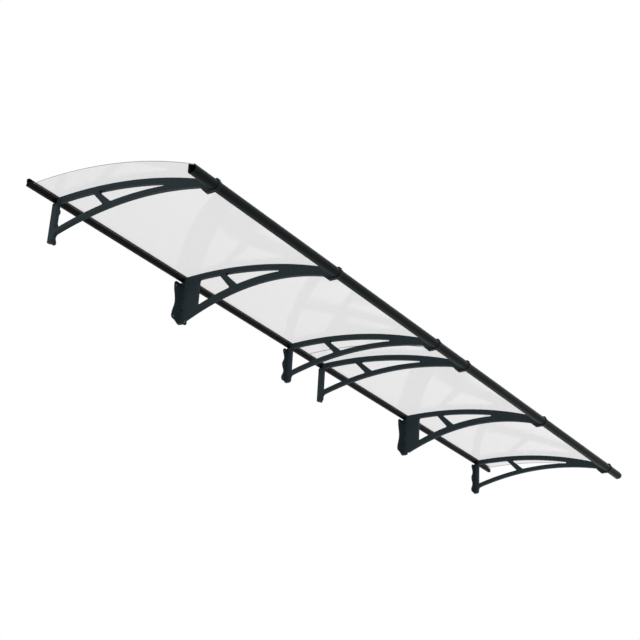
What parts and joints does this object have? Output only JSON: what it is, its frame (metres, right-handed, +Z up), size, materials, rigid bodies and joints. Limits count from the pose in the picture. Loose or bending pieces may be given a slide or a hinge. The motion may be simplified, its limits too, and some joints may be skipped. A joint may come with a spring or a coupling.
{
  "type": "door canopy",
  "caption": "Long wall-mounted door canopy: curved clear sheets held by a wall profile and a rounded front profile, carried by moulded support arms with windows and screw flanges.",
  "frame": {"origin": "on the wall face, at mid-length, half way up the wall profile", "axes": "+X along the canopy to the right seen from the front, +Y into the wall, +Z up"},
  "size_m": [4.144, 0.9165, 0.251],
  "materials": {
    "clear_sheet": "smooth clear",
    "wall_profile": "satin dark grey",
    "front_profile": "satin dark grey",
    "arm_plastic": "fine satin grain",
    "seal_rubber": "matt",
    "joiner": "mill finish",
    "screw_steel": "dark plated"
  },
  "bodies": {
    "root": {"sheet_left": "clear_sheet", "wall_profile_left": "wall_profile", "wall_seal_left": "seal_rubber", "front_profile_left": "front_profile", "sheet_right": "clear_sheet", "wall_profile_right": "wall_profile", "wall_seal_right": "seal_rubber", "front_profile_right": "front_profile", "wall_key": "joiner", "front_sleeve": "joiner", "arm_1": "arm_plastic", "front_clip_1": "arm_plastic", "clip_screw_1": "screw_steel", "arm_2": "arm_plastic", "front_clip_2": "arm_plastic", "clip_screw_2": "screw_steel", "arm_3": "arm_plastic", "front_clip_3": "arm_plastic", "clip_screw_3": "screw_steel", "arm_4": "arm_plastic", "front_clip_4": "arm_plastic", "clip_screw_4": "screw_steel", "arm_5": "arm_plastic", "front_clip_5": "arm_plastic", "clip_screw_5": "screw_steel", "arm_6": "arm_plastic", "front_clip_6": "arm_plastic", "clip_screw_6": "screw_steel"}
  },
  "joints": []
}
